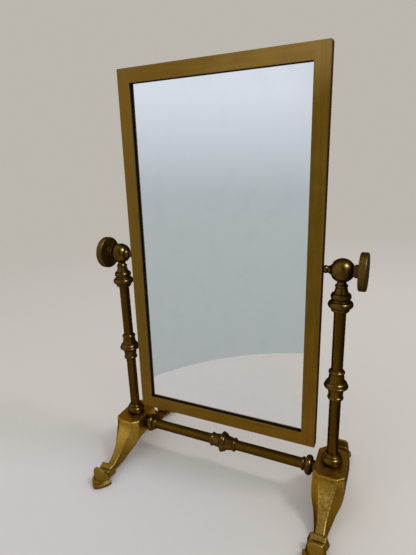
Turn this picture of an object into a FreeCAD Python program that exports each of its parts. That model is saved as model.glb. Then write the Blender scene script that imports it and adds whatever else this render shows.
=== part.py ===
import FreeCAD, Part
import math
import os

# A small brass swing mirror for a dressing table, in millimetres.
# X runs from the left post to the right post, Y from the front to the back, Z up.
# The origin lies on the table, midway between the four hooves.

# driving dimensions: stand
block_width = 27.6              # base block, along X
block_depth = 38.4              # base block, along Y
block_height = 19.4
block_corner_x = 5.9            # cut corners of the block, along X
block_corner_y = 4.6            # and along Y
arch_height = 20.8              # from the table to the underside of the block
frame_clearance = 24.53         # from the stretcher's axis up to the frame's bottom edge
tube_diameter = 9.5             # one size of tube for the posts and the stretcher
tube_wall = 1.0
lower_tube_length = 53.9
ball_diameter = 19.0
stretcher_drop = 9.3            # from the top of the block to the stretcher's axis

# driving dimensions: feet; a setback is measured back from the tip of the sole
foot_reach = 76.0               # from the middle of the block to the tip of the sole
sole_half_width = 10.9
sole_length = 12.8
sole_thickness = 4.2
ankle_setback = 28.2
ankle_height = 9.4              # top of the leg at the ankle
ankle_thickness = 5.2
ankle_facet = 3.5               # half width of the leg's middle facet at the ankle
ankle_half_width = 5.7
cuff_setback = 22.8             # to the back of the cuff
cuff_length = 5.2
cuff_height = 13.6              # top of the cuff's back rim above the table
cuff_drop = 1.8                 # from the back rim to the front edge
cuff_underside = 3.6
cuff_top_half_width = 6.5
cuff_widest_half_width = 9.3
cuff_widest_height = 5.6
pastern_half_width = 7.2        # the narrow part between the cuff and the hoof
pastern_height = 10.0
hoof_height = 17.0
hoof_top_half_width = 5.4
hoof_foot_half_width = 8.4
hoof_shoulder_height = 9.6      # where the hoof's sides begin to round in
hoof_setback = 4.9              # to the nose of the hoof, where it meets the sole
hoof_length = 8.5               # from the nose to the back, where they meet the sole
hoof_back_rake = 2.4            # how far the back leans forward at its top
hoof_nose_rake = 4.4            # how far the nose leans back at its top

# driving dimensions: swinging mirror
frame_width = 179.0
frame_height = 323.0
frame_face = 12.1               # width of the flat face all round
frame_edge_round = 0.7
lip_thickness = 1.2
rebate_width = 2.5              # glass rebate beyond the sight edge
liner_thickness = 2.0
glass_thickness = 3.0
glass_play = 0.3                # round the edge of the glass
card_thickness = 0.9
plate_thickness = 1.0
plate_overlap = 5.0             # back plate beyond the glass rebate
rest_tilt = 1.0                 # degrees, top edge to the back
plate_screws_high = 4           # along each long side
plate_screws_wide = 2           # along each short side
plate_screw_diameter = 1.6
plate_screw_head = 3.2
plate_screw_length = 3.4

# driving dimensions: pivots, rods and fasteners
thread_diameter = 4.0
running_clearance = 0.05        # on the radius
spacer_length = 3.9
spacer_wall = 1.15              # from the bead's bore to its widest round
collar_wall = 0.75              # from the collar's bore to its outside at the bead
washer_thickness = 0.8
washer_radius = 4.6
ball_flat_depth = 0.9           # taken off the ball's outer side
collar_stand_out = 1.1          # of the collar beyond the round of the ball
knob_diameter = 30.0
knob_boss_diameter = 10.4
knob_boss_length = 3.0
knob_disc_thickness = 6.2
knob_edge_round = 1.4
knob_dish_depth = 0.5
screw_depth_in_frame = 7.0
screw_depth_in_knob = 5.0
spigot_length = 4.0
nut_width = 7.0                 # across flats
nut_height = 3.2
nut_pocket_depth = 4.4
nut_pocket_play = 0.46          # between the nut's corners and its pocket
rod_depth_in_block = 8.5

# mouldings of the turned pieces, from the bottom up
# ("line", rise, end radius) or ("arc", rise, radius halfway, end radius)
base_ring_start = 7.0
base_ring_mouldings = [
    ("arc", 7.6, 9.0, 6.4),
    ("arc", 1.7, 6.9, 6.1),
    ("arc", 1.3, 5.6, 5.3),
]
knop_start = 5.4
knop_mouldings = [
    ("arc", 3.2, 6.7, 5.8),
    ("line", 6.4, 6.6),
    ("line", 1.9, 8.5),
    ("arc", 2.2, 9.95, 9.2),
    ("arc", 3.2, 8.9, 6.9),
    ("arc", 7.0, 6.4, 5.8),
    ("arc", 2.6, 6.7, 5.7),
    ("line", 0.6, 5.3),
]
finial_start = 5.3
finial_mouldings = [
    ("arc", 3.1, 7.2, 6.9),
    ("arc", 6.0, 9.8, 7.2),
    ("line", 1.1, 6.8),
    ("arc", 5.0, 8.0, 6.9),
    ("line", 0.4, 5.7),
    ("line", 4.7, 4.4),
    ("line", 0.2, 4.7),
    ("arc", 2.1, 5.0, 4.2),
    ("arc", 2.3, 3.6, 3.5),
]
end_ring_start = 5.3
end_ring_mouldings = [
    ("line", 2.7, 5.2),
    ("arc", 6.4, 8.9, 5.5),
    ("line", 0.8, 5.3),
    ("arc", 2.3, 6.3, 5.4),
    ("line", 0.6, 5.1),
]


def rise_of(mouldings):
    return sum(step[1] for step in mouldings)


# worked out from the driving dimensions
frame_side = frame_width / 2
ball_radius = ball_diameter / 2
ball_flat = ball_radius - ball_flat_depth
collar_length = ball_radius + collar_stand_out
post_x = frame_side + spacer_length + collar_length
block_top = arch_height + block_height
base_ring_height = rise_of(base_ring_mouldings)
knop_length = rise_of(knop_mouldings)
finial_height = rise_of(finial_mouldings)
end_ring_length = rise_of(end_ring_mouldings)
lower_tube_z = block_top + base_ring_height
knop_z = lower_tube_z + lower_tube_length
upper_tube_z = knop_z + knop_length
stretcher_z = block_top - stretcher_drop
pivot_height = stretcher_z + frame_clearance + frame_height / 2
finial_top_radius = finial_mouldings[-1][-1]
ball_seat = math.sqrt(ball_radius ** 2 - finial_top_radius ** 2)
finial_z = pivot_height - ball_seat - finial_height
upper_tube_length = finial_z - upper_tube_z
thread_radius = thread_diameter / 2
bore_radius = thread_radius + running_clearance
spacer_radius = bore_radius + spacer_wall
nut_pocket_radius = nut_width / math.sqrt(3) + nut_pocket_play
tube_bore = tube_diameter / 2 - tube_wall
block_face_x = post_x - block_width / 2
stretcher_tube_length = block_face_x - end_ring_length - knop_length / 2
frame_thickness = lip_thickness + liner_thickness + glass_thickness + card_thickness + plate_thickness
glass_width = frame_width - 2 * frame_face + 2 * rebate_width
glass_height = frame_height - 2 * frame_face + 2 * rebate_width
ankle_reach = foot_reach - ankle_setback
cuff_reach = foot_reach - cuff_setback
hoof_nose = foot_reach - hoof_setback
hoof_back = hoof_nose - hoof_length


def vec(x, y, z):
    return FreeCAD.Vector(x, y, z)


def cylinder(radius, length, start, direction):
    return Part.makeCylinder(radius, length, start, direction)


def turned(start_radius, mouldings, bore):
    """A solid of revolution about +Z that starts at height 0, with a bore through it."""
    outline = []
    here = vec(start_radius, 0, 0)
    outline.append(Part.LineSegment(vec(bore, 0, 0), here).toShape())
    for step in mouldings:
        there = vec(step[-1], 0, here.z + step[1])
        if step[0] == "line":
            outline.append(Part.LineSegment(here, there).toShape())
        else:
            halfway = vec(step[2], 0, here.z + step[1] / 2)
            outline.append(Part.Arc(here, halfway, there).toShape())
        here = there
    outline.append(Part.LineSegment(here, vec(bore, 0, here.z)).toShape())
    outline.append(Part.LineSegment(vec(bore, 0, here.z), vec(bore, 0, 0)).toShape())
    face = Part.Face(Part.Wire(outline))
    return face.revolve(vec(0, 0, 0), vec(0, 0, 1), 360)


def spigot(outer_radius, start_z, length):
    body = cylinder(outer_radius, length, vec(0, 0, start_z), vec(0, 0, 1))
    return body.cut(cylinder(bore_radius, length, vec(0, 0, start_z), vec(0, 0, 1)))


def tube(length):
    body = cylinder(tube_diameter / 2, length, vec(0, 0, 0), vec(0, 0, 1))
    return body.cut(cylinder(tube_bore, length, vec(0, 0, 0), vec(0, 0, 1)))


def with_spigots(shape, length, below, above):
    """Adds the short spigots that centre a turned piece in the tubes beside it."""
    radius = tube_bore - running_clearance
    if below:
        shape = shape.fuse(spigot(radius, -spigot_length, spigot_length))
    if above:
        shape = shape.fuse(spigot(radius, length, spigot_length))
    return shape.removeSplitter()


def turned_knop():
    body = turned(knop_start, knop_mouldings, bore_radius)
    return with_spigots(body, knop_length, True, True)


def turned_base_ring():
    body = turned(base_ring_start, base_ring_mouldings, bore_radius)
    return with_spigots(body, base_ring_height, False, True)


def turned_finial():
    body = turned(finial_start, finial_mouldings, bore_radius)
    return with_spigots(body, finial_height, True, False)


def turned_end_ring():
    body = turned(end_ring_start, end_ring_mouldings, bore_radius)
    return with_spigots(body, end_ring_length, False, True)


# the leg, as shares of the way from the block's top edge to the ankle: out, down, narrowing of
# the facet and of the width; then how far back the facet's neighbours run, in block corners, and
# the section's depth as a share of the block's height above the table
leg_stations = [
    (0.0, 0.0, 0.0, 0.0, 1.0, 0.6),
    (0.066, 0.156, 0.11, 0.0, 1.25, 0.672),
    (0.182, 0.344, 0.29, 0.0, 1.75, 0.721),
    (0.364, 0.529, 0.53, 0.15, 2.2, 0.597),
    (0.584, 0.731, 0.82, 0.50, 2.1, 0.398),
    (0.818, 0.899, 0.98, 0.86, 1.5, 0.274),
    (1.0, 1.0, 1.0, 1.0, 0.95, 0.199),
]


def between(start, end, share):
    return start + share * (end - start)


def leg_profile():
    """(out, height, facet, half width, corner, depth) of each section, out from the post's axis."""
    block_facet = block_width / 2 - block_corner_x
    rows = [(between(block_depth / 2, ankle_reach, out),
             between(block_top, ankle_height, down),
             between(block_facet, ankle_facet, facet),
             between(block_width / 2, ankle_half_width, width),
             block_corner_y * corner,
             block_top * depth)
            for out, down, facet, width, corner, depth in leg_stations]
    into_cuff = (cuff_reach + 1.2, ankle_height - 1.8) + rows[-1][2:]
    return rows + [into_cuff]


def leg_section(profile, index):
    """One cross-section of the leg, square to its middle facet, flat at the block's top."""
    out, height, facet, side, corner, depth = profile[index]
    if index == 0:
        inward = (-1.0, 0.0)
    else:
        before = profile[index - 1]
        after = profile[min(index + 1, len(profile) - 1)]
        run_out, run_down = after[0] - before[0], after[1] - before[1]
        length = math.hypot(run_out, run_down)
        inward = (run_down / length, -run_out / length)

    def at(x, inset):
        return vec(x, out + inward[0] * inset, height + inward[1] * inset)

    points = [at(-side, depth), at(-side, corner), at(-facet, 0),
              at(facet, 0), at(side, corner), at(side, depth)]
    return Part.makePolygon(points + points[:1])


def arch_cutter():
    """What is cut away under the block and the leg, out to the ankle."""
    ankle_underside = ankle_height - ankle_thickness

    def at(out, down):
        return vec(-block_width, between(block_depth / 2, ankle_reach, out),
                   between(arch_height, ankle_underside, down))

    flat_end, knee, shin, shin_end = at(-0.217, 0), at(0.098, 0.277), at(0.5, 0.765), at(1.021, 1)
    middle = vec(-block_width, -1, arch_height)
    low = -arch_height
    outline = [
        Part.LineSegment(middle, flat_end).toShape(),
        Part.Arc(flat_end, at(-0.049, 0.096), knee).toShape(),
        Part.LineSegment(knee, shin).toShape(),
        Part.Arc(shin, at(0.72, 0.946), shin_end).toShape(),
        Part.LineSegment(shin_end, vec(-block_width, foot_reach, shin_end.z)).toShape(),
        Part.LineSegment(vec(-block_width, foot_reach, shin_end.z), vec(-block_width, foot_reach, low)).toShape(),
        Part.LineSegment(vec(-block_width, foot_reach, low), vec(-block_width, -1, low)).toShape(),
        Part.LineSegment(vec(-block_width, -1, low), middle).toShape(),
    ]
    return Part.Face(Part.Wire(outline)).extrude(vec(2 * block_width, 0, 0))


def leg():
    """Half of the bracket, kept within the width of the block."""
    profile = leg_profile()
    sections = [leg_section(profile, index) for index in range(len(profile))]
    body = Part.makeLoft(sections, True, False)
    front_half = Part.makeBox(block_width, 2 * foot_reach, 4 * block_top,
                              vec(-block_width / 2, 0, -block_top))
    return body.common(front_half).cut(arch_cutter())


def prism(points, direction):
    return Part.Face(Part.makePolygon(points + points[:1])).extrude(direction)


def loft_between(points_a, points_b):
    wires = [Part.makePolygon(points + points[:1]) for points in (points_a, points_b)]
    return Part.makeLoft(wires, True, True)


def flared_section(out, upper, widest, top):
    """A six-sided cross-section of the foot, widest at the height of the cuff's corners."""
    return [vec(1.5 - widest, out, cuff_underside), vec(-widest, out, cuff_widest_height),
            vec(-upper, out, top), vec(upper, out, top),
            vec(widest, out, cuff_widest_height), vec(widest - 1.5, out, cuff_underside)]


def cuff_and_pastern():
    """The flared collar round the ankle and the narrower part in front of it."""
    front = cuff_reach + cuff_length
    hoof_middle = (hoof_back + hoof_nose) / 2
    back_rim = flared_section(cuff_reach, cuff_top_half_width, cuff_widest_half_width, cuff_height)
    front_edge = flared_section(front, cuff_top_half_width - 0.6, cuff_widest_half_width - 1.0,
                                cuff_height - cuff_drop)
    narrow = [flared_section(out, pastern_half_width - 1.8, pastern_half_width, pastern_height)
              for out in (front + 0.8, hoof_middle)]
    cuff = loft_between(back_rim, front_edge)
    slope = loft_between(front_edge, narrow[0])
    return cuff.fuse(slope).fuse(loft_between(*narrow))


def pointed_outline(half_width, back, side_end, shoulder, tip, height):
    """A closed outline with straight sides that bends to a point at the front."""
    rear_left, rear_right = vec(-half_width, back, height), vec(half_width, back, height)
    left, right = vec(-half_width, side_end, height), vec(half_width, side_end, height)
    nose = vec(0, tip, height)
    bend_x, bend_y = shoulder
    return Part.Wire([
        Part.LineSegment(rear_left, rear_right).toShape(),
        Part.LineSegment(rear_right, right).toShape(),
        Part.Arc(right, vec(bend_x, bend_y, height), nose).toShape(),
        Part.Arc(nose, vec(-bend_x, bend_y, height), left).toShape(),
        Part.LineSegment(left, rear_left).toShape(),
    ])


def hoof():
    """The hoof, as the common part of its outlines from above, from the front and from the side."""
    half = hoof_foot_half_width
    side_end = hoof_back + 0.2 * (hoof_nose - hoof_back)
    bend = (0.64 * half, side_end + 0.66 * (hoof_nose - side_end))
    plan = pointed_outline(half, hoof_back, side_end, bend, hoof_nose, sole_thickness)
    from_above = Part.Face(plan).extrude(vec(0, 0, hoof_height))
    return from_above.common(hoof_from_front()).common(hoof_from_side())


def hoof_from_front():
    """The arched outline of the hoof as seen along its length."""
    low, shoulder, top = hoof_foot_half_width, hoof_foot_half_width - 0.5, hoof_top_half_width
    shoulder_z, crest_z = hoof_shoulder_height, hoof_height - 0.7
    halfway = (0.53 * (shoulder + top), (shoulder_z + crest_z) / 2)

    def at(x, z):
        return vec(x, hoof_back, z)

    outline = [
        Part.LineSegment(at(-low, sole_thickness), at(low, sole_thickness)).toShape(),
        Part.LineSegment(at(low, sole_thickness), at(shoulder, shoulder_z)).toShape(),
        Part.Arc(at(shoulder, shoulder_z), at(*halfway), at(top, crest_z)).toShape(),
        Part.Arc(at(top, crest_z), at(0, hoof_height), at(-top, crest_z)).toShape(),
        Part.Arc(at(-top, crest_z), at(-halfway[0], halfway[1]), at(-shoulder, shoulder_z)).toShape(),
        Part.LineSegment(at(-shoulder, shoulder_z), at(-low, sole_thickness)).toShape(),
    ]
    return Part.Face(Part.Wire(outline)).extrude(vec(0, sole_length, 0))


def hoof_from_side():
    low, high = sole_thickness, hoof_height + 0.1
    top_back, top_nose = hoof_back + hoof_back_rake, hoof_nose - hoof_nose_rake

    def at(y, z):
        return vec(-2 * hoof_foot_half_width, y, z)

    outline = [
        Part.LineSegment(at(hoof_back, low), at(top_back, high)).toShape(),
        Part.LineSegment(at(top_back, high), at(top_nose, high)).toShape(),
        Part.Arc(at(top_nose, high), at(hoof_nose - 0.38 * hoof_nose_rake, (low + high) / 2),
                 at(hoof_nose + 0.1, low)).toShape(),
        Part.LineSegment(at(hoof_nose + 0.1, low), at(hoof_back, low)).toShape(),
    ]
    return Part.Face(Part.Wire(outline)).extrude(vec(4 * hoof_foot_half_width, 0, 0))


def sole():
    back = foot_reach - sole_length
    outline = pointed_outline(sole_half_width, back, back + 0.4,
                              (0.69 * sole_half_width, back + 0.53 * sole_length), foot_reach, 0)
    return Part.Face(outline).extrude(vec(0, 0, sole_thickness))


def half_casting():
    foot = cuff_and_pastern().fuse(hoof()).fuse(sole())
    return leg().fuse(foot)


def base_casting(side):
    """One stand bracket at the origin; side is 1 for the right one and -1 for the left."""
    half = half_casting()
    body = half.fuse(half.mirror(vec(0, 0, 0), vec(0, 1, 0))).removeSplitter()
    rod_bore = cylinder(bore_radius, block_height, vec(0, 0, arch_height), vec(0, 0, 1))
    pocket = cylinder(nut_pocket_radius, nut_pocket_depth, vec(0, 0, arch_height), vec(0, 0, 1))
    face = vec(-side * block_width / 2, 0, stretcher_z)
    blind = cylinder(bore_radius, rod_depth_in_block, face, vec(side, 0, 0))
    return body.cut(rod_bore).cut(pocket).cut(blind)


def pivot_ball():
    """Ball at the origin, collar towards -X, flat towards +X, bored through along X."""
    collar_radius = bore_radius + collar_wall
    root = 0.66 * ball_radius
    root_x = -math.sqrt(ball_radius ** 2 - root ** 2)
    flat_radius = math.sqrt(ball_radius ** 2 - ball_flat ** 2)
    outline = [
        Part.LineSegment(vec(-collar_length, bore_radius, 0), vec(-collar_length, collar_radius, 0)).toShape(),
        Part.Arc(vec(-collar_length, collar_radius, 0),
                 vec((root_x - collar_length) / 2, collar_radius + 0.9, 0),
                 vec(root_x, root, 0)).toShape(),
        Part.Arc(vec(root_x, root, 0), vec(0, ball_radius, 0), vec(ball_flat, flat_radius, 0)).toShape(),
        Part.LineSegment(vec(ball_flat, flat_radius, 0), vec(ball_flat, bore_radius, 0)).toShape(),
        Part.LineSegment(vec(ball_flat, bore_radius, 0), vec(-collar_length, bore_radius, 0)).toShape(),
    ]
    body = Part.Face(Part.Wire(outline)).revolve(vec(0, 0, 0), vec(1, 0, 0), 360)
    seat_cut = cylinder(ball_radius, ball_radius, vec(0, 0, -ball_seat - ball_radius), vec(0, 0, 1))
    socket_top = -bore_radius - 1.2
    socket = cylinder(bore_radius, ball_radius, vec(0, 0, socket_top - ball_radius), vec(0, 0, 1))
    return body.cut(seat_cut).cut(socket)


def tie_rod():
    """From the nut's underside to the top of the ball's socket."""
    bottom = arch_height + 0.6
    top = pivot_height - bore_radius - 1.2 - 0.4
    return cylinder(thread_radius, top - bottom, vec(0, 0, bottom), vec(0, 0, 1))


def hex_prism(across_flats, height, start):
    radius = across_flats / math.sqrt(3)
    corners = [start + vec(radius * math.cos(math.radians(60 * k)), radius * math.sin(math.radians(60 * k)), 0)
               for k in range(6)]
    return prism(corners, vec(0, 0, height))


def tie_nut():
    top = arch_height + nut_pocket_depth
    body = hex_prism(nut_width, nut_height, vec(0, 0, top - nut_height))
    return body.cut(cylinder(bore_radius, nut_height, vec(0, 0, top - nut_height), vec(0, 0, 1)))


def ring_about_x(outer, inner, start_x, length):
    body = cylinder(outer, length, vec(start_x, 0, 0), vec(1, 0, 0))
    return body.cut(cylinder(inner, length, vec(start_x, 0, 0), vec(1, 0, 0)))


def spacer_bead():
    """The round bead between the collar and the frame, at its place beside the ball at the origin."""
    length = spacer_length
    start = -collar_length - length
    rim = bore_radius + 0.25
    outline = [
        Part.LineSegment(vec(start, bore_radius, 0), vec(start, rim, 0)).toShape(),
        Part.Arc(vec(start, rim, 0), vec(start + length / 2, spacer_radius, 0),
                 vec(start + length, rim, 0)).toShape(),
        Part.LineSegment(vec(start + length, rim, 0), vec(start + length, bore_radius, 0)).toShape(),
        Part.LineSegment(vec(start + length, bore_radius, 0), vec(start, bore_radius, 0)).toShape(),
    ]
    return Part.Face(Part.Wire(outline)).revolve(vec(0, 0, 0), vec(1, 0, 0), 360)


def friction_washer():
    return ring_about_x(washer_radius, bore_radius, ball_flat, washer_thickness)


knob_start = ball_flat + washer_thickness
knob_disc_start = knob_start + knob_boss_length
knob_end = knob_disc_start + knob_disc_thickness


def thumb_knob():
    """Round disc with a boss towards the ball and a shallow dish in its outer face."""
    rim = knob_diameter / 2
    disc = cylinder(rim, knob_disc_thickness, vec(knob_disc_start, 0, 0), vec(1, 0, 0))
    disc = disc.makeFillet(knob_edge_round, disc.Edges)
    dish_rim = rim - 2.2 * knob_edge_round
    dish_radius = (dish_rim ** 2 + knob_dish_depth ** 2) / (2 * knob_dish_depth)
    disc = disc.cut(Part.makeSphere(dish_radius, vec(knob_end - knob_dish_depth + dish_radius, 0, 0)))
    boss = cylinder(knob_boss_diameter / 2, knob_boss_length + knob_disc_thickness / 2,
                    vec(knob_start, 0, 0), vec(1, 0, 0))
    socket = cylinder(bore_radius, screw_depth_in_knob, vec(knob_start, 0, 0), vec(1, 0, 0))
    return disc.fuse(boss).removeSplitter().cut(socket)


def pivot_screw():
    """From inside the knob, through the washer, ball and bead, into the side of the frame."""
    start = frame_side - post_x - screw_depth_in_frame
    end = knob_start + screw_depth_in_knob - 0.2
    return cylinder(thread_radius, end - start, vec(start, 0, 0), vec(1, 0, 0))


def centred_box(width, height, depth, front):
    """A box centred on the pivot, its front face at the given depth behind the frame's face."""
    return Part.makeBox(width, depth, height,
                        vec(-width / 2, -frame_thickness / 2 + front, -height / 2))


def round_edges(shape, radius, keep):
    edges = [edge for edge in shape.Edges if keep(edge)]
    return shape.makeFillet(radius, edges)


def on_outline(edge):
    """True for the outer edges of the frame's front and back and for its four corners."""
    box = edge.BoundBox
    far_x = max(abs(box.XMin), abs(box.XMax)) > frame_side - 0.01
    far_z = max(abs(box.ZMin), abs(box.ZMax)) > frame_height / 2 - 0.01
    return far_x or far_z


def mirror_frame():
    body = centred_box(frame_width, frame_height, frame_thickness, 0)
    body = round_edges(body, frame_edge_round, on_outline)
    sight_width, sight_height = frame_width - 2 * frame_face, frame_height - 2 * frame_face
    body = body.cut(centred_box(sight_width, sight_height, 3 * frame_thickness, -frame_thickness))
    body = body.cut(centred_box(glass_width, glass_height, frame_thickness, lip_thickness))
    body = body.cut(centred_box(glass_width + 2 * plate_overlap, glass_height + 2 * plate_overlap,
                                frame_thickness, frame_thickness - plate_thickness))
    for side in (-1, 1):
        start = vec(side * frame_side, 0, 0)
        body = body.cut(cylinder(bore_radius, screw_depth_in_frame + 0.2, start, vec(-side, 0, 0)))
    for spot in plate_screw_spots():
        body = body.cut(cylinder(plate_screw_diameter / 2 + running_clearance, plate_screw_length,
                                 spot, vec(0, -1, 0)))
    return body


def rebate_liner():
    outer = centred_box(glass_width - 2 * glass_play, glass_height - 2 * glass_play,
                        liner_thickness, lip_thickness)
    sight_width, sight_height = frame_width - 2 * frame_face, frame_height - 2 * frame_face
    return outer.cut(centred_box(sight_width, sight_height, frame_thickness, 0))


def mirror_glass():
    return centred_box(glass_width - 2 * glass_play, glass_height - 2 * glass_play,
                       glass_thickness, lip_thickness + liner_thickness)


def backing_card():
    front = lip_thickness + liner_thickness + glass_thickness
    return centred_box(glass_width - 2 * glass_play, glass_height - 2 * glass_play,
                       frame_thickness - plate_thickness - front, front)


def plate_screw_spots():
    """Screw centres on the plate's outer face, evenly spaced along each side."""
    x = glass_width / 2 + plate_overlap / 2
    z = glass_height / 2 + plate_overlap / 2
    back = frame_thickness / 2
    spots = []
    for k in range(plate_screws_high):
        height = -z + 2 * z * k / (plate_screws_high - 1)
        spots += [vec(-x, back, height), vec(x, back, height)]
    for k in range(plate_screws_wide):
        across = x * (2 * (k + 1) / (plate_screws_wide + 1) - 1)
        spots += [vec(across, back, -z), vec(across, back, z)]
    return spots


def screw_head_depth():
    return (plate_screw_head - plate_screw_diameter) / 2


def plate_screw(spot):
    """A countersunk screw whose head is flush with the plate."""
    shank = cylinder(plate_screw_diameter / 2, plate_screw_length - 0.3, spot, vec(0, -1, 0))
    head = Part.makeCone(plate_screw_head / 2, plate_screw_diameter / 2, screw_head_depth(),
                         spot, vec(0, -1, 0))
    return shank.fuse(head).removeSplitter()


def back_plate():
    width = glass_width + 2 * plate_overlap - 2 * glass_play
    height = glass_height + 2 * plate_overlap - 2 * glass_play
    body = centred_box(width, height, plate_thickness, frame_thickness - plate_thickness)
    for spot in plate_screw_spots():
        body = body.cut(cylinder(plate_screw_diameter / 2 + running_clearance, frame_thickness,
                                 spot, vec(0, -1, 0)))
        body = body.cut(Part.makeCone(plate_screw_head / 2 + running_clearance,
                                      plate_screw_diameter / 2 + running_clearance,
                                      screw_head_depth(), spot, vec(0, -1, 0)))
    return body


def stretcher_rod():
    half = block_face_x + rod_depth_in_block - 0.2
    return cylinder(thread_radius, 2 * half, vec(-half, 0, stretcher_z), vec(1, 0, 0))


def placed(shape, shift, turn_axis=None, degrees=0):
    shape = shape.copy()
    if turn_axis:
        shape.rotate(vec(0, 0, 0), turn_axis, degrees)
    shape.translate(shift)
    return shape


def on_post(shape, side, height):
    """Moves a piece from the origin to the height on the post of that side."""
    return placed(shape, vec(side * post_x, 0, height))


def beside_post(shape, side, tilted):
    """Puts a pivot piece, modelled for the right post, at the pivot of that side."""
    if side < 0:
        shape = shape.mirror(vec(0, 0, 0), vec(1, 0, 0))
    if tilted:
        shape = placed(shape, vec(0, 0, 0), vec(1, 0, 0), -rest_tilt)
    return placed(shape, vec(side * post_x, 0, pivot_height))


def along_stretcher(shape, start_x, direction):
    """Lays a piece that was turned about +Z along the stretcher, from start_x."""
    return placed(shape, vec(start_x, 0, stretcher_z), vec(0, 1, 0), 90 * direction)


def hung(shape):
    """Tilts a piece of the mirror to its resting angle and lifts it to the pivots."""
    return placed(shape, vec(0, 0, pivot_height), vec(1, 0, 0), -rest_tilt)


def build():
    nodes = {}
    for name, side in (("left", -1), ("right", 1)):
        nodes[name + "_base_casting"] = on_post(base_casting(side), side, 0)
        nodes[name + "_base_ring"] = on_post(turned_base_ring(), side, block_top)
        nodes[name + "_lower_tube"] = on_post(tube(lower_tube_length), side, lower_tube_z)
        nodes[name + "_post_knop"] = on_post(turned_knop(), side, knop_z)
        nodes[name + "_upper_tube"] = on_post(tube(upper_tube_length), side, upper_tube_z)
        nodes[name + "_finial"] = on_post(turned_finial(), side, finial_z)
        nodes[name + "_pivot_ball"] = beside_post(pivot_ball(), side, False)
        nodes[name + "_tie_rod"] = on_post(tie_rod(), side, 0)
        nodes[name + "_tie_nut"] = on_post(tie_nut(), side, 0)
        nodes[name + "_spacer_bead"] = beside_post(spacer_bead(), side, True)
        nodes[name + "_friction_washer"] = beside_post(friction_washer(), side, True)
        nodes[name + "_thumb_knob"] = beside_post(thumb_knob(), side, True)
        nodes[name + "_pivot_screw"] = beside_post(pivot_screw(), side, True)
        nodes[name + "_stretcher_end_ring"] = along_stretcher(turned_end_ring(), side * block_face_x, -side)
        tube_end = side * (block_face_x - end_ring_length)
        nodes[name + "_stretcher_tube"] = along_stretcher(
            tube(stretcher_tube_length), tube_end, -side)
    nodes["stretcher_knop"] = along_stretcher(turned_knop(), -knop_length / 2, 1)
    nodes["stretcher_rod"] = stretcher_rod()
    nodes["mirror_frame"] = hung(mirror_frame())
    nodes["rebate_liner"] = hung(rebate_liner())
    nodes["mirror_glass"] = hung(mirror_glass())
    nodes["backing_card"] = hung(backing_card())
    nodes["back_plate"] = hung(back_plate())
    nodes["back_plate_screws"] = hung(Part.makeCompound([plate_screw(spot) for spot in plate_screw_spots()]))
    return nodes


os.makedirs("parts", exist_ok=True)
for node, shape in build().items():
    shape.exportStep("parts/" + node + ".step")
    print(node, len(shape.Solids), round(shape.Volume, 1), shape.isValid())
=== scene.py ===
import bpy
import bmesh
import math
from mathutils import Matrix, Vector


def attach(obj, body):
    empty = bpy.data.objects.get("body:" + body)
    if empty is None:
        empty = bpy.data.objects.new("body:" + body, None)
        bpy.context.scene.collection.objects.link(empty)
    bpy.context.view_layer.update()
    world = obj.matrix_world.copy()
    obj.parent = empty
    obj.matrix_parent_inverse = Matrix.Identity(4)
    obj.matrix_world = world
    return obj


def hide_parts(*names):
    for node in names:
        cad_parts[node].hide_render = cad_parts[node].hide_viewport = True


# Small brass swing mirror for a dressing table. Metres, X to the right, Y to the back, Z up.

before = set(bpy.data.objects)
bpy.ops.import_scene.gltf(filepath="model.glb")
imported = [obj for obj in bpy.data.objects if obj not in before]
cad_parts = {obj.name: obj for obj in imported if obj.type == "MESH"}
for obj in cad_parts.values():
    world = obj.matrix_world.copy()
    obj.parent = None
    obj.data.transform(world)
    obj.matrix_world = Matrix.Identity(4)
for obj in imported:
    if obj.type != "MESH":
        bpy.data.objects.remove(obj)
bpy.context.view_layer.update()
print("frame loaded:", len(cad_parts), "nodes")


class Flow:                                     # a socket that can be added, multiplied and linked
    def __init__(self, tree, socket=None):
        self.tree = tree
        self.socket = socket

    def node(self, kind, settings=None, sockets=None, out=0):
        made = self.tree.nodes.new("ShaderNode" + kind)
        for key, value in (settings or {}).items():
            if key == "stops":
                ramp = made.color_ramp
                while len(ramp.elements) < len(value):
                    ramp.elements.new(0.5)
                for element, (position, colour) in zip(ramp.elements, value):
                    element.position = position
                    element.color = colour
            else:
                setattr(made, key, value)
        for key, value in (sockets or {}).items():
            if isinstance(value, Flow):
                self.tree.links.new(value.socket, made.inputs[key])
            else:
                made.inputs[key].default_value = value
        return Flow(self.tree, made.outputs[out] if made.outputs else None)

    def maths(self, operation, first, second):
        return self.node("Math", {"operation": operation}, {0: first, 1: second})

    def __add__(self, other):
        return self.maths("ADD", self, other)

    def __radd__(self, other):
        return self.maths("ADD", other, self)

    def __sub__(self, other):
        return self.maths("SUBTRACT", self, other)

    def __rsub__(self, other):
        return self.maths("SUBTRACT", other, self)

    def __mul__(self, other):
        return self.maths("MULTIPLY", self, other)

    def __rmul__(self, other):
        return self.maths("MULTIPLY", other, self)

    def axis(self, name):
        return self.node("SeparateXYZ", None, {0: self}, name)

    def along(self, other):                     # dot product
        return self.node("VectorMath", {"operation": "DOT_PRODUCT"}, {0: self, 1: other}, "Value")

    def unsigned(self):
        return self.node("Math", {"operation": "ABSOLUTE"}, {0: self})

    def between(self, low, high):               # 0 at low, 1 at high, smooth in the middle
        return self.node("MapRange", {"interpolation_type": "SMOOTHSTEP"},
                         {"Value": self, "From Min": low, "From Max": high})

    def patchy(self, share):                    # varies only a share of the whole
        return (1 - share) + share * self

    def blend(self, first, second):             # first colour where self is 0, second where it is 1
        return self.node("Mix", {"data_type": "RGBA"}, {0: self, 6: first, 7: second}, 2)


def rgb(red, green, blue):
    return (red, green, blue, 1.0)


def startMaterial(name):
    material = bpy.data.materials.new(name)
    material.use_nodes = True
    material.node_tree.nodes.clear()
    return material, Flow(material.node_tree)


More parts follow.
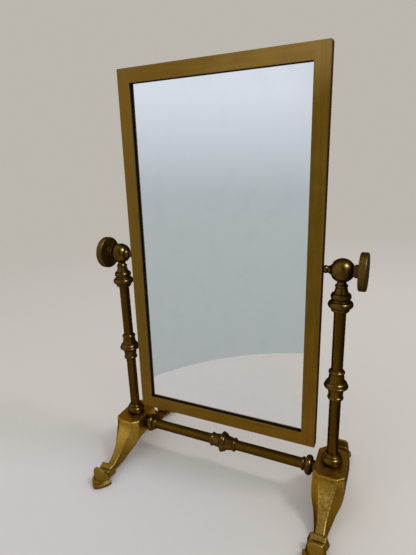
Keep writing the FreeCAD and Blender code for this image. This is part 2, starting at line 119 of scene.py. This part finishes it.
def finishMaterial(flow, surface):
    flow.node("OutputMaterial", None, {"Surface": surface})


def noise(flow, place, scale, detail=3.0, roughness=0.55):
    return flow.node("TexNoise", None, {"Vector": place, "Scale": scale, "Detail": detail,
                                        "Roughness": roughness})


def ray(flow, kind):                            # 1 for light paths of this kind, else 0
    return flow.node("LightPath", None, None, "Is " + kind + " Ray")


# finishes of the brass: colours from lit to tarnished, marks per metre, relief and edges in metres
castBrass = {
    "light": rgb(0.54, 0.325, 0.058), "deep": rgb(0.27, 0.143, 0.011),
    "tarnish": rgb(0.065, 0.029, 0.001), "rim": rgb(0.09, 0.045, 0.005),
    "metal": 1.0, "rough": 0.38, "roughSpread": 0.2, "lacquer": 0.0,
    "clouds": 70, "mottle": 480, "mottleShare": 0.62, "grain": 1500, "bumpHeight": 0.0002,
    "edge": 0.0003, "worn": 0.1, "groove": 0.007,
    "worked": [                                 # painted shade: darker low down near the floor, and a browner, darker tone painted on the tops of the blocks
        {"colour": rgb(0.20, 0.112, 0.012), "x": (-0.5, -0.4), "z": (0.026, 0.010)},
        {"colour": rgb(0.43, 0.208, 0.012), "x": (-0.5, -0.4), "z": (0.0397, 0.0401)}]}
turnedBrass = {
    "light": rgb(0.140, 0.070, 0.006), "deep": rgb(0.085, 0.041, 0.003),
    "tarnish": rgb(0.012, 0.005, 0.0005), "rim": rgb(0.04, 0.025, 0.01),
    "metal": 0.99, "rough": 0.32, "roughSpread": 0.05, "lacquer": 0.13,
    "clouds": 110, "mottle": 700, "mottleShare": 0.15, "grain": 2600, "bumpHeight": 0.00001,
    "edge": 0.0004, "worn": 0.5, "groove": 0.005, "worked": []}
knobBrass = dict(turnedBrass, light=rgb(0.155, 0.078, 0.008), deep=rgb(0.090, 0.043, 0.003),
                 rough=0.50, lacquer=0.12, mottleShare=0.4, groove=0.0)
tubeBrass = {
    "light": rgb(0.108, 0.055, 0.003), "deep": rgb(0.080, 0.040, 0.002),
    "tarnish": rgb(0.030, 0.015, 0.002), "rim": rgb(0.04, 0.025, 0.01),
    "metal": 0.99, "rough": 0.29, "roughSpread": 0.04, "lacquer": 0.03,
    "clouds": 60, "mottle": 500, "mottleShare": 0.15, "grain": 2600, "bumpHeight": 0.000004,
    "edge": 0.0, "worn": 0.0, "groove": 0.0, "worked": []}
plateBrass = {
    "light": rgb(0.41, 0.245, 0.055), "deep": rgb(0.345, 0.20, 0.040),
    "tarnish": rgb(0.06, 0.03, 0.005), "rim": rgb(0.20, 0.14, 0.07),
    "metal": 0.98, "rough": 0.35, "roughSpread": 0.06, "lacquer": 0.02,
    "clouds": 60, "mottle": 260, "mottleShare": 0.35, "grain": 2400, "bumpHeight": 0.00002,
    "edge": 0.0004, "worn": 0.5, "groove": 0.0, "worked": []}
frameBrass = dict(
    plateBrass, light=rgb(0.245, 0.130, 0.013), deep=rgb(0.165, 0.086, 0.006), clouds=45, lacquer=0.04,
    streaks={"scale": 420, "length": 22, "share": 0.4, "sideBars": (0.078, 0.079), "range": (0.38, 0.66)},
    worked=[                                    # painted highlight bright along the top bar, painted shade duller towards the left
        {"colour": rgb(0.42, 0.245, 0.058), "x": (-0.07, 0.09), "z": (0.335, 0.376)},
        {"colour": rgb(0.235, 0.124, 0.019), "x": (0.02, -0.083), "z": (0.03, 0.06)}])
wear = {"clouds": (0.35, 0.68), "mottle": (0.36, 0.70), "fineMottle": 0.6, "fineGrain": 0.4,
        "workedPatchy": 0.4, "tarnish": (0.18, 0.85), "tarnishPatchy": 0.25, "tarnishRough": 0.16,
        "edges": (0.015, 0.16), "edgesPatchy": 0.6, "reliefMottle": 0.65, "reliefGrain": 0.35, "relief": 0.6,
        "lacquerRough": 0.12, "samples": 8}


def brassMaterial(name, look):
    material, flow = startMaterial(name)
    place = flow.node("TexCoord", None, None, "Object")
    clouds = noise(flow, place, look["clouds"]).between(*wear["clouds"])
    mottle = noise(flow, place, look["mottle"], detail=4.0, roughness=0.6).between(*wear["mottle"])
    grain = noise(flow, place, look["grain"], detail=2.0)
    fine = mottle * wear["fineMottle"] + grain * wear["fineGrain"]
    tone = clouds * (1 - look["mottleShare"]) + fine * look["mottleShare"]
    across, up = place.axis("X"), place.axis("Z")
    if "streaks" in look:                       # rubbed along the bars
        streaks = look["streaks"]
        short = 1 / streaks["length"]
        drawn = [flow.node("VectorMath", {"operation": "MULTIPLY"}, {0: place, 1: stretch})
                 for stretch in ((short, 1, 1), (1, 1, short))]
        level, upright = (noise(flow, stretched, streaks["scale"]) for stretched in drawn)
        sideBar = across.unsigned().between(*streaks["sideBars"])
        streak = (sideBar * upright + (1.0 - sideBar) * level).between(*streaks["range"])
        tone = tone * (1 - streaks["share"]) + streak * streaks["share"]
    colour = tone.blend(look["deep"], look["light"])
    # painted light and shade: lighter and darker patches mixed into the colour where light or shade falls
    for patch in look["worked"]:
        here = across.between(*patch["x"]) * up.between(*patch["z"])
        colour = (here * tone.patchy(wear["workedPatchy"])).blend(colour, patch["colour"])
    roughness = look["rough"] + look["roughSpread"] * (mottle - 0.5)
    if look["groove"]:                          # dirt and tarnish stay where a cloth can't reach
        openness = flow.node("AmbientOcclusion", {"samples": wear["samples"]},
                             {"Distance": look["groove"]}, "AO")
        tarnish = (1.0 - openness).between(*wear["tarnish"]) * mottle.patchy(wear["tarnishPatchy"])
        colour = tarnish.blend(colour, look["tarnish"])
        roughness = roughness + wear["tarnishRough"] * tarnish
    height = grain * wear["reliefGrain"] + mottle * wear["reliefMottle"]
    relief = {"Strength": wear["relief"], "Distance": look["bumpHeight"], "Height": height}
    if look["edge"]:                            # edges are rubbed bright
        soft = flow.node("Bevel", {"samples": wear["samples"]}, {"Radius": look["edge"]})
        flat = flow.node("NewGeometry", None, None, "Normal")
        worn = (1.0 - soft.along(flat)).between(*wear["edges"]) * clouds.patchy(wear["edgesPatchy"])
        colour = (worn * look["worn"]).blend(colour, look["light"])
        relief["Normal"] = soft
    bump = flow.node("Bump", None, relief)
    surface = flow.node("BsdfPrincipled", None, {
        "Base Color": colour, "Metallic": look["metal"], "Roughness": roughness, "Normal": bump,
        "Specular Tint": look["rim"], "Coat Weight": look["lacquer"], "Coat Roughness": wear["lacquerRough"]})
    finishMaterial(flow, surface)
    return material


glassLook = {"silver": rgb(0.90, 0.915, 0.915), "haze": rgb(0.86, 0.885, 0.895),
             "rough": 0.012, "roughSpread": 0.02, "hazeScale": 60, "hazeRange": (0.45, 0.8)}


def mirrorMaterial():
    material, flow = startMaterial("silvered_glass")
    place = flow.node("TexCoord", None, None, "Object")
    haze = noise(flow, place, glassLook["hazeScale"], detail=5.0, roughness=0.6)
    haze = haze.between(*glassLook["hazeRange"])
    colour = haze.blend(glassLook["silver"], glassLook["haze"])
    roughness = glassLook["rough"] + glassLook["roughSpread"] * haze
    surface = flow.node("BsdfPrincipled", None, {"Base Color": colour, "Metallic": 1.0, "Roughness": roughness})
    finishMaterial(flow, surface)
    return material


plainLooks = {
    "steel": {"light": rgb(0.62, 0.61, 0.58), "deep": rgb(0.38, 0.36, 0.33), "scale": 900,
              "rough": 0.32, "metal": 1.0, "shine": 0.5},
    "leather": {"light": rgb(0.16, 0.09, 0.045), "deep": rgb(0.07, 0.035, 0.018), "scale": 1500,
                "rough": 0.7, "metal": 0.0, "shine": 0.05},
    # black card for the backing card; on the rebate liner it is painted shade, a black strip standing for the
    # dark reflection of the lip's underside
    "black_card": {"light": rgb(0.005, 0.006, 0.003), "deep": rgb(0.003, 0.003, 0.002), "scale": 1200,
                   "rough": 0.9, "metal": 0.0, "shine": 0.05},
}
plainRelief = {"strength": 0.3, "height": 0.00005, "roughSpread": 0.1, "range": (0.3, 0.7)}


def plainMaterial(name, look):
    material, flow = startMaterial(name)
    place = flow.node("TexCoord", None, None, "Object")
    spread = noise(flow, place, look["scale"], detail=4.0, roughness=0.6).between(*plainRelief["range"])
    bump = flow.node("Bump", None, {"Strength": plainRelief["strength"], "Distance": plainRelief["height"],
                                    "Height": spread})
    surface = flow.node("BsdfPrincipled", None, {
        "Base Color": spread.blend(look["deep"], look["light"]), "Metallic": look["metal"],
        "Roughness": look["rough"] + plainRelief["roughSpread"] * spread, "Normal": bump,
        "Specular IOR Level": look["shine"]})
    finishMaterial(flow, surface)
    return material


finishes = {
    "cast_brass": brassMaterial("cast_brass_aged", castBrass),
    "turned_brass": brassMaterial("turned_brass_aged", turnedBrass),
    "knob_brass": brassMaterial("knob_brass_aged", knobBrass),
    "tube_brass": brassMaterial("tube_brass_aged", tubeBrass),
    "frame_brass": brassMaterial("frame_brass_aged", frameBrass),
    "plate_brass": brassMaterial("plate_brass_aged", plateBrass),
    "mirror": mirrorMaterial(),
}
for slotName, look in plainLooks.items():
    finishes[slotName] = plainMaterial(slotName + "_plain", look)
print("materials:", len(finishes))


# slots of the pieces that aren't turned brass, by name without the side
otherSlots = {
    "base_casting": "cast_brass", "mirror_frame": "frame_brass", "back_plate": "plate_brass",
    "thumb_knob": "knob_brass", "lower_tube": "tube_brass", "upper_tube": "tube_brass",
    # the rebate liner is painted shade: a black strip where the glass shows only the dark underside of the lip
    "stretcher_tube": "tube_brass", "mirror_glass": "mirror", "rebate_liner": "black_card",
    "backing_card": "black_card", "friction_washer": "leather", "tie_rod": "steel", "tie_nut": "steel",
    "stretcher_rod": "steel", "pivot_screw": "steel", "back_plate_screws": "steel",
}
for nodeName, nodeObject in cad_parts.items():
    kind = nodeName.replace("left_", "").replace("right_", "")
    nodeObject.data.materials.clear()
    nodeObject.data.materials.append(finishes[otherSlots.get(kind, "turned_brass")])


# the cast brackets, softened as a sand casting is after fettling
castings = {"merge": 0.000002, "voxel": 0.0005, "rounds": 3, "strength": 0.5}


def softenedCasting(nodeName):
    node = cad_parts[nodeName]
    mesh = bmesh.new()
    mesh.from_mesh(node.data)
    bmesh.ops.remove_doubles(mesh, verts=mesh.verts, dist=castings["merge"])
    data = bpy.data.meshes.new(nodeName + "_soft")
    mesh.to_mesh(data)
    mesh.free()
    piece = bpy.data.objects.new(nodeName + "_soft", data)
    bpy.context.scene.collection.objects.link(piece)
    remesh = piece.modifiers.new("even", "REMESH")
    remesh.mode = "VOXEL"
    remesh.voxel_size = castings["voxel"]
    bpy.context.view_layer.update()
    even = bpy.data.meshes.new_from_object(piece.evaluated_get(bpy.context.evaluated_depsgraph_get()))
    piece.modifiers.clear()
    mesh = bmesh.new()
    mesh.from_mesh(even)
    for _ in range(castings["rounds"]):
        bmesh.ops.smooth_vert(mesh, verts=mesh.verts, factor=castings["strength"],
                              use_axis_x=True, use_axis_y=True, use_axis_z=True)
    for face in mesh.faces:
        face.smooth = True
    mesh.to_mesh(even)
    mesh.free()
    piece.data = even
    even.materials.clear()
    even.materials.append(finishes["cast_brass"])
    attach(piece, "stand")
    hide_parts(nodeName)
    return piece


for side in ("left", "right"):
    casting = softenedCasting(side + "_base_casting")
    print(casting.name, "faces:", len(casting.data.polygons))


# the pale floor; in reflections only the part of it near the object is seen, like a table top
stage = {"floor": rgb(0.66, 0.64, 0.615), "air": rgb(0.70, 0.685, 0.665), "wall": rgb(0.50, 0.475, 0.425),
         "size": 4.0, "segments": 96, "fade": (0.5, 1.6)}
table = {"middle": (0.117, -0.007, 0.0), "rim": (0.322, 0.318), "rearSide": (0.6, 0.8, 0.0),
         "rearEdge": (0.118, 0.078), "rightEdge": (0.20, 0.16)}


def makeFloor():
    mesh = bmesh.new()
    bmesh.ops.create_circle(mesh, cap_ends=True, segments=stage["segments"], radius=stage["size"])
    data = bpy.data.meshes.new("floor")
    mesh.to_mesh(data)
    mesh.free()
    floor = bpy.data.objects.new("floor", data)
    bpy.context.scene.collection.objects.link(floor)
    material, flow = startMaterial("pale_floor")
    place = flow.node("TexCoord", None, None, "Object")
    away = flow.node("VectorMath", {"operation": "DISTANCE"}, {0: place, 1: table["middle"]}, "Value")
    onTable = away.between(*table["rim"]) * place.along(table["rearSide"]).between(*table["rearEdge"])
    onTable = onTable * place.axis("X").between(*table["rightEdge"])
    matt = flow.node("BsdfDiffuse", None, {"Color": stage["floor"]})
    low = flow.node("BsdfTransparent", None, None)
    wall = flow.node("Emission", None, {"Color": stage["wall"], "Strength": 1.0})
    surface = flow.node("MixShader", None, {0: (1.0 - onTable) * ray(flow, "Glossy"), 1: matt, 2: low})
    farOff = away.between(*stage["fade"]) * ray(flow, "Camera")
    surface = flow.node("MixShader", None, {0: farOff, 1: surface, 2: wall})
    finishMaterial(flow, surface)
    data.materials.append(material)


# what the brass and the glass reflect: colours by height, then sides, each with where it sets in
room = {"low": rgb(0.40, 0.43, 0.42), "middle": rgb(0.46, 0.49, 0.51), "top": rgb(0.74, 0.78, 0.86),
        "ceiling": rgb(0.80, 0.82, 0.85), "heights": (-0.5, 0.5), "middleAt": 0.44, "topAt": 0.66,
        "rear": rgb(0.13, 0.12, 0.10), "rearward": (0.55, 0.835, 0.0), "rearEdge": (-0.25, 0.35),
        "left": rgb(0.82, 0.82, 0.78), "leftEdge": (-0.55, -0.95),
        "right": rgb(0.14, 0.13, 0.11), "rightEdge": (0.10, 0.60),
        "doorX": (0.45, 0.60), "doorY": (-0.45, -0.60),
        "figure": rgb(0.02, 0.018, 0.015), "sideways": (0.974, 0.225, 0.0), "figureSide": (0.5, 0.0),
        "figureY": (-0.1, -0.6), "figureZ": (0.0, 0.25)}


def makeWorld():
    world = bpy.data.worlds.new("studio")
    bpy.context.scene.world = world
    world.use_nodes = True
    world.node_tree.nodes.clear()
    flow = Flow(world.node_tree)
    direction = flow.node("TexCoord", None, None, "Generated")
    across, back, up = (direction.axis(name) for name in ("X", "Y", "Z"))
    bottom, top = room["heights"]
    lift = flow.node("MapRange", None, {"Value": up, "From Min": bottom, "From Max": top})
    stops = [(0.0, room["low"]), (room["middleAt"], room["middle"]), (room["topAt"], room["top"]),
             (1.0, room["ceiling"])]
    around = flow.node("ValToRGB", {"stops": stops}, {0: lift})
    around = direction.along(room["rearward"]).between(*room["rearEdge"]).blend(around, room["rear"])
    around = across.between(*room["leftEdge"]).blend(around, room["left"])
    door = across.between(*room["doorX"]) * back.between(*room["doorY"])       # lighter than the right side
    around = (across.between(*room["rightEdge"]) * (1.0 - door)).blend(around, room["right"])
    figure = direction.along(room["sideways"]).unsigned().between(*room["figureSide"])
    figure = figure * back.between(*room["figureY"]) * up.between(*room["figureZ"])     # someone in front
    around = figure.blend(around, room["figure"])
    colour = ray(flow, "Glossy").blend(stage["air"], around)
    colour = ray(flow, "Camera").blend(colour, stage["wall"])
    background = flow.node("Background", None, {"Color": colour, "Strength": 1.0})
    flow.node("OutputWorld", None, {"Surface": background})


lamps = {
    "key": {"place": (1.05, 0.10, 1.60), "size": 0.36, "power": 8.5, "colour": (1.0, 0.96, 0.90),
            "mirrored": False, "lights": True},
    "glint": {"place": (1.057, -0.424, 1.54), "size": 0.36, "power": 28.0, "colour": (0.74, 1.0, 2.4),
              "mirrored": True, "lights": False},
    "fill": {"place": (-0.9, -1.3, 1.1), "size": 1.2, "power": 1.5, "colour": (1.0, 0.98, 0.95),
             "mirrored": False, "lights": True},
}
lampAim = (0.0, 0.0, 0.18)


def makeLamps():
    for name, lamp in lamps.items():
        data = bpy.data.lights.new(name, "AREA")
        data.size = lamp["size"]
        data.energy = lamp["power"]
        data.color = lamp["colour"]
        light = bpy.data.objects.new(name, data)
        light.location = lamp["place"]
        beam = Vector(lampAim) - Vector(lamp["place"])
        light.rotation_euler = beam.to_track_quat("-Z", "Y").to_euler()
        light.visible_glossy = lamp["mirrored"]
        light.visible_diffuse = lamp["lights"]
        bpy.context.scene.collection.objects.link(light)


eye = {"place": (0.144768, -0.324272, 0.306474), "yaw": 25.64, "pitch": 16.39, "roll": -2.16,
       "lens": 27.21, "sensor": 36.0, "near": 0.01}


def makeCamera():
    yaw, pitch, roll = (math.radians(eye[key]) for key in ("yaw", "pitch", "roll"))
    turn = Matrix.Rotation(yaw, 4, "Z") @ Matrix.Rotation(math.pi / 2 - pitch, 4, "X")
    turn = turn @ Matrix.Rotation(roll, 4, "Z")
    data = bpy.data.cameras.new("eye")
    data.sensor_width = eye["sensor"]
    data.lens = eye["lens"]
    data.clip_start = eye["near"]
    camera = bpy.data.objects.new("eye", data)
    camera.matrix_world = Matrix.Translation(eye["place"]) @ turn
    bpy.context.scene.collection.objects.link(camera)
    bpy.context.scene.camera = camera


makeFloor()
makeWorld()
makeLamps()
makeCamera()
bpy.context.scene.view_settings.view_transform = "Standard"
print("stage, lamps and camera made")
